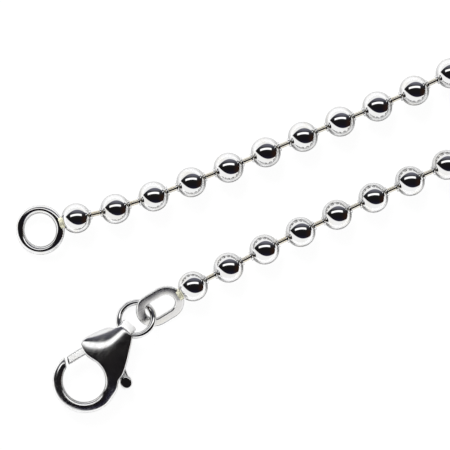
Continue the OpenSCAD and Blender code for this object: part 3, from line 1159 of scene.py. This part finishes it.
def metal_wear_group():
    """Faint haze, hairlines and clouds of tarnish that every silver surface shares."""
    if "Metal wear" in bpy.data.node_groups:
        return bpy.data.node_groups["Metal wear"]
    tree = new_group(
        "Metal wear",
        [
            ("Vector", "NodeSocketVector", None),
            ("Cloud size", "NodeSocketFloat", 900.0),
            ("Hairline size", "NodeSocketFloat", 9000.0),
            ("Stretch", "NodeSocketFloat", 12.0),
            ("Roughness low", "NodeSocketFloat", 0.02),
            ("Roughness high", "NodeSocketFloat", 0.08),
            ("Clean", "NodeSocketColor", None),
            ("Dull", "NodeSocketColor", None),
        ],
        [("Color", "NodeSocketColor"), ("Roughness", "NodeSocketFloat"), ("Height", "NodeSocketFloat")],
    )
    nodes = Nodes(tree)
    given = nodes.add("NodeGroupInput").outputs
    clouds = nodes.add(
        "ShaderNodeTexNoise", {"Vector": given["Vector"], "Scale": given["Cloud size"], "Detail": 4.0}
    ).outputs[0]
    stretch = nodes.add("ShaderNodeCombineXYZ", {0: 1.0, 1: given["Stretch"], 2: given["Stretch"]}).outputs[0]
    drawn = nodes.add(
        "ShaderNodeVectorMath", {0: given["Vector"], 1: stretch}, operation="MULTIPLY"
    ).outputs[0]
    lines = nodes.add(
        "ShaderNodeTexNoise", {"Vector": drawn, "Scale": given["Hairline size"], "Detail": 2.0}
    ).outputs[0]
    dull = nodes.add(
        "ShaderNodeMapRange", {"Value": clouds, "From Min": 0.5, "From Max": 0.8}
    ).outputs[0]
    tint = nodes.mix(dull, given["Clean"], given["Dull"])
    haze = nodes.math("MULTIPLY", clouds, lines)
    rough = nodes.add(
        "ShaderNodeMapRange",
        {
            "Value": haze,
            "From Min": 0.1,
            "From Max": 0.4,
            "To Min": given["Roughness low"],
            "To Max": given["Roughness high"],
        },
    ).outputs[0]
    nodes.add("NodeGroupOutput", {"Color": tint, "Roughness": rough, "Height": lines})
    return tree


def silver(name, clean, dull, low, high, depth, stretch=12.0, hairline=9000.0, heading=0.0):
    """A silver surface: its colour, its lowest and highest roughness and its hairlines' depth."""
    if name in bpy.data.materials:
        return bpy.data.materials[name]
    material = bpy.data.materials.new(name)
    material.use_nodes = True
    nodes = Nodes(material.node_tree)
    shader = material.node_tree.nodes["Principled BSDF"]
    coords = nodes.add("ShaderNodeTexCoord").outputs["Object"]
    turned_coords = nodes.add(
        "ShaderNodeMapping", {"Vector": coords, "Rotation": (0, 0, -heading)}
    ).outputs[0]
    wear = nodes.add("ShaderNodeGroup", node_tree=metal_wear_group())
    for key, value in (
        ("Hairline size", hairline),
        ("Stretch", stretch),
        ("Roughness low", low),
        ("Roughness high", high),
        ("Clean", opaque(clean)),
        ("Dull", opaque(dull)),
    ):
        wear.inputs[key].default_value = value
    links = material.node_tree.links
    links.new(turned_coords, wear.inputs["Vector"])
    links.new(wear.outputs["Color"], shader.inputs["Base Color"])
    links.new(wear.outputs["Roughness"], shader.inputs["Roughness"])
    bump = nodes.add(
        "ShaderNodeBump", {"Height": wear.outputs["Height"], "Strength": 1.0, "Distance": depth}
    )
    links.new(bump.outputs[0], shader.inputs["Normal"])
    shader.inputs["Metallic"].default_value = 1.0
    return material


def colours():
    """The metals' colours in the panel."""
    return bpy.context.scene.necklace_finish


def polished_silver():
    """Silver polished to a mirror, for the balls."""
    wear = {"low": 0.0, "high": 0.06, "depth": 0.00002 * MM}
    return silver("polished silver", colours().silver, colours().tarnish, **wear)


def drawn_silver():
    """Silver wire, polished in its rings and rods."""
    wear = {"low": 0.02, "high": 0.1, "depth": 0.00003 * MM}
    return silver("drawn silver wire", colours().silver, colours().tarnish, **wear)


def pin_silver():
    """Wire of the pins, a little warmer."""
    wear = {"low": 0.03, "high": 0.1, "depth": 0.0002 * MM}
    return silver("warm pin wire", colours().pin, colours().pin_dull, **wear)


def cast_silver():
    """Polished casting, with faint streaks along the clasp."""
    heading = bpy.context.scene.necklace_clasp.heading
    wear = {"low": 0.1, "high": 0.22, "depth": 0.0012 * MM}
    streaks = {"stretch": 10.0, "hairline": 450.0, "heading": heading}
    return silver("cast silver", colours().silver, colours().tarnish, **wear, **streaks)


def brushed_silver(heading):
    """Brushed silver, with its hairlines along the given heading."""
    wear = {"low": 0.2, "high": 0.3, "depth": 0.002 * MM}
    streaks = {"stretch": 14.0, "hairline": 700.0, "heading": heading}
    return silver("brushed silver", colours().brushed, colours().tarnish, **wear, **streaks)


# How much of the satin silver's and the solder's look is that of bare metal
SATIN_METAL = 0.05
SOLDER_METAL = 0.5


def satin_silver():
    """Matt white silver, as cleaned in acid and not polished."""
    wear = {"low": 0.5, "high": 0.7, "depth": 0.0004 * MM, "stretch": 1.0, "hairline": 14000.0}
    material = silver("satin silver", colours().satin, colours().tarnish, **wear)
    material.node_tree.nodes["Principled BSDF"].inputs["Metallic"].default_value = SATIN_METAL
    return material


def pale_solder():
    """Solder, yellower and duller than the silver."""
    wear = {"low": 0.3, "high": 0.45, "depth": 0.002 * MM, "stretch": 1.0, "hairline": 3000.0}
    material = silver("pale solder", colours().solder, colours().tarnish, **wear)
    material.node_tree.nodes["Principled BSDF"].inputs["Metallic"].default_value = SOLDER_METAL
    return material


# Stage

# What the camera sees of the table: its own glow, and how much of the light on it is added
SEEN_GLOW = 0.955
SEEN_SHADE = 0.09
# Painted contact shade: share of the table's tone that is left right beside a piece, and how fast it comes
# back. Ambient occlusion paints it into the table's colour, and paints the table's glow darker there too,
# down to nothing.
PAINTED_CONTACT_SHADE = 0.62
CONTACT_FALL = 4.0
# Share of the table's tone that its paper's grain leaves at its darkest
GRAIN_SHADE = 0.98

# The light tent is laid out as a polished ball on the table mirrors it: x and y are shares of the
# ball's radius. A curve has its middle, its height there, its bow and its tilt.
OPENING_TOP = (0.05, 0.59, -0.80, 0.06)
OPENING_LOW = (0.12, -0.458, 0.73, -0.06)
OPENING_END = 0.75
OPENING_EDGE = 0.03
# Tones of the opening from its low side to its top, each at its height on the ball plus a half
OPENING_TONES = [
    (0.02, (0.032, 0.031, 0.055)),
    (0.12, (0.014, 0.013, 0.028)),
    (0.25, (0.009, 0.008, 0.012)),
    (0.55, (0.010, 0.009, 0.009)),
    (0.80, (0.030, 0.031, 0.038)),
    (0.90, (0.10, 0.10, 0.12)),
    (1.00, (0.16, 0.16, 0.20)),
]
# A warmer tone at the right of the opening's low part
WARM_TONE = (0.032, 0.014, 0.008)
WARM_FROM = 0.3
WARM_TO = 0.6
WARM_TOP = 0.3
WARM_SHARE = 0.7
# The bar light over the opening
BAR = (0.0, 0.235, -0.42, 0.10)
BAR_HALF = 0.075
BAR_EDGE = 0.025
BAR_REACH = 0.40
BAR_END_EDGE = 0.05


def white_table(stage):
    """A matt white sheet. The camera sees it nearly as bright all over as the overexposed paper of a
    product picture, while the silver mirrors its soft shade: the lamp's real shadows, and a contact
    shade painted into the table's colour and glow beside each piece."""
    material = bpy.data.materials.new("white table")
    material.use_nodes = True
    nodes = Nodes(material.node_tree)
    shader = material.node_tree.nodes["Principled BSDF"]
    coords = nodes.add("ShaderNodeTexCoord").outputs["Object"]
    grain = nodes.add("ShaderNodeTexNoise", {"Vector": coords, "Scale": 400.0, "Detail": 3.0}).outputs[0]
    light = opaque(colours().table)
    shaded = opaque([value * GRAIN_SHADE for value in colours().table])
    tone = nodes.mix(grain, light, shaded)
    seen = nodes.add("ShaderNodeLightPath").outputs["Is Camera Ray"]
    links = material.node_tree.links
    # Painted contact shade: ambient occlusion darkens the table's colour beside each piece
    near = nodes.add("ShaderNodeAmbientOcclusion", {"Distance": stage.painted_shade_reach}, samples=8)
    painted_shade_near = nodes.math("POWER", near.outputs["AO"], CONTACT_FALL)
    tone = nodes.mix(painted_shade_near, opaque([value * PAINTED_CONTACT_SHADE for value in colours().table]), tone)
    links.new(nodes.mix(seen, tone, opaque([SEEN_SHADE] * 3)), shader.inputs["Base Color"])
    # The glow that the silver mirrors is painted darker beside each piece as well
    painted_shade_glow = nodes.mix(painted_shade_near, (0, 0, 0, 1), opaque([stage.glow] * 3))
    glow = nodes.mix(seen, painted_shade_glow, opaque([SEEN_GLOW] * 3))
    links.new(glow, shader.inputs["Emission Color"])
    shader.inputs["Emission Strength"].default_value = 1.0
    shader.inputs["Roughness"].default_value = 0.9
    shader.inputs["Specular IOR Level"].default_value = 0.0
    return material


def soft_lamp(stage):
    """A wide lamp that shades the table beside each ball. The silver doesn't mirror it."""
    lamp = bpy.data.lights.new("soft lamp", "SUN")
    lamp.energy = stage.lamp
    lamp.angle = stage.lamp_soft
    holder = bpy.data.objects.new("soft lamp", lamp)
    holder.rotation_euler = (pi / 2 - stage.lamp_height, 0, stage.turn + stage.lamp_from + pi)
    holder.visible_glossy = False
    bpy.context.scene.collection.objects.link(holder)


def curve_through(nodes, x, middle, height, bow, tilt):
    """Height of a parabola over x, in shares of a ball's radius."""
    off = nodes.math("SUBTRACT", x, middle)
    bowed = nodes.math("MULTIPLY_ADD", nodes.math("MULTIPLY", off, off), bow, height)
    return nodes.math("MULTIPLY_ADD", off, tilt, bowed)


def within(nodes, low, high, soft):
    """One where a value is above another by more than a soft edge, and nought below it."""
    return nodes.math("DIVIDE", nodes.math("SUBTRACT", high, low), soft, clamp=True)


def light_tent(stage):
    """Soft white walls all round, with the camera's dark opening and a bar light overhead."""
    world = bpy.data.worlds.new("light tent")
    bpy.context.scene.world = world
    world.use_nodes = True
    nodes = Nodes(world.node_tree)
    background = world.node_tree.nodes["Background"]
    direction = nodes.add("ShaderNodeTexCoord").outputs["Generated"]
    turned_way = nodes.add(
        "ShaderNodeMapping", {"Vector": direction, "Rotation": (0, 0, -stage.turn)}
    ).outputs[0]
    halfway = nodes.add("ShaderNodeVectorMath", {0: turned_way, 1: (0, 0, 1)}, operation="ADD").outputs[0]
    on_ball = nodes.add("ShaderNodeVectorMath", {0: halfway}, operation="NORMALIZE").outputs[0]
    split = nodes.add("ShaderNodeSeparateXYZ", {0: on_ball}).outputs
    x, y = split[0], split[1]

    inside_top = within(nodes, y, curve_through(nodes, x, *OPENING_TOP), OPENING_EDGE)
    inside_low = within(nodes, curve_through(nodes, x, *OPENING_LOW), y, OPENING_EDGE)
    inside_end = within(nodes, x, OPENING_END, OPENING_EDGE)
    opening = nodes.math("MULTIPLY", nodes.math("MULTIPLY", inside_top, inside_low), inside_end)

    tones = nodes.add("ShaderNodeValToRGB", {"Fac": nodes.math("ADD", y, 0.5)})
    ramp = tones.color_ramp
    while len(ramp.elements) < len(OPENING_TONES):
        ramp.elements.new(0.5)
    for element, (position, tone) in zip(ramp.elements, OPENING_TONES):
        element.position = position
        element.color = opaque(tone)
    warm_side = nodes.add(
        "ShaderNodeMapRange", {"Value": x, "From Min": WARM_FROM, "From Max": WARM_TO, "To Max": WARM_SHARE}
    ).outputs[0]
    warm_low = nodes.add("ShaderNodeMapRange", {"Value": y, "From Min": WARM_TOP, "From Max": 0.0}).outputs[0]
    warm = nodes.math("MULTIPLY", warm_side, warm_low)
    dark = nodes.mix(warm, tones.outputs[0], opaque(WARM_TONE))

    off_bar = nodes.math("ABSOLUTE", nodes.math("SUBTRACT", y, curve_through(nodes, x, *BAR)))
    across_bar = within(nodes, off_bar, BAR_HALF, BAR_EDGE)
    along_bar = within(nodes, nodes.math("ABSOLUTE", x), BAR_REACH, BAR_END_EDGE)
    bar = nodes.math("MULTIPLY", across_bar, along_bar)
    lit = nodes.mix(bar, dark, opaque([stage.bar_light] * 3))
    tent = nodes.mix(opening, opaque([stage.wall_light] * 3), lit)
    seen = nodes.add("ShaderNodeLightPath").outputs["Is Camera Ray"]
    shown = nodes.mix(seen, tent, opaque([1, 1, 1]))
    world.node_tree.links.new(shown, background.inputs["Color"])


class NECKLACE_OT_stage(bpy.types.Operator):
    """Sets the white table, the light tent and the camera"""

    bl_idname = "necklace.stage"
    bl_label = "Stage"

    def execute(self, context):
        stage = context.scene.necklace_stage
        context.scene.view_settings.view_transform = "Standard"
        clear_selection()
        bpy.ops.mesh.primitive_plane_add(size=stage.floor_size)
        table = bpy.context.object
        table.name = "table"
        table.data.materials.append(white_table(stage))
        light_tent(stage)
        soft_lamp(stage)
        camera = bpy.data.cameras.new("camera")
        camera.sensor_width = stage.sensor
        camera.lens = stage.sensor * stage.distance / stage.field
        camera.clip_start = stage.distance / 10
        camera.clip_end = stage.distance * 10
        holder = bpy.data.objects.new("camera", camera)
        holder.location = (stage.middle_x, 0, BALL_R + stage.distance)
        holder.rotation_euler = (0, 0, stage.turn)
        context.scene.collection.objects.link(holder)
        context.scene.camera = holder
        return {"FINISHED"}


class NECKLACE_PT_tools(bpy.types.Panel):
    """Lists the necklace's sizes and the pieces to build"""

    bl_idname = "NECKLACE_PT_tools"
    bl_label = "Necklace"
    bl_space_type = "VIEW_3D"
    bl_region_type = "UI"
    bl_category = "Necklace"

    def draw(self, context):
        for name in PROPERTIES:
            box = self.layout.box()
            group = getattr(context.scene, name)
            for key in group.__annotations__:
                box.prop(group, key)
        for operator in OPERATORS:
            self.layout.operator(operator.bl_idname)


PROPERTIES = {
    "necklace_chain": NecklaceChain,
    "necklace_ends": NecklaceEnds,
    "necklace_clasp": NecklaceClasp,
    "necklace_finish": NecklaceFinish,
    "necklace_stage": NecklaceStage,
}
OPERATORS = [
    NECKLACE_OT_stage,
    NECKLACE_OT_balls,
    NECKLACE_OT_pins,
    NECKLACE_OT_end_ring,
    NECKLACE_OT_oval_link,
    NECKLACE_OT_jump_ring,
    NECKLACE_OT_clasp_body,
    NECKLACE_OT_gate_lever,
    NECKLACE_OT_clasp_pin,
]


def register():
    for group in PROPERTIES.values():
        bpy.utils.register_class(group)
    for name, group in PROPERTIES.items():
        setattr(bpy.types.Scene, name, PointerProperty(type=group))
    for operator in OPERATORS:
        bpy.utils.register_class(operator)
    bpy.utils.register_class(NECKLACE_PT_tools)


def unregister():
    bpy.utils.unregister_class(NECKLACE_PT_tools)
    for operator in reversed(OPERATORS):
        bpy.utils.unregister_class(operator)
    for name in PROPERTIES:
        delattr(bpy.types.Scene, name)
    for group in reversed(list(PROPERTIES.values())):
        bpy.utils.unregister_class(group)


def main():
    """Builds the stage and every piece."""
    register()
    for operator in OPERATORS:
        getattr(bpy.ops.necklace, operator.bl_idname.split(".")[1])()


if __name__ == "__main__":
    main()
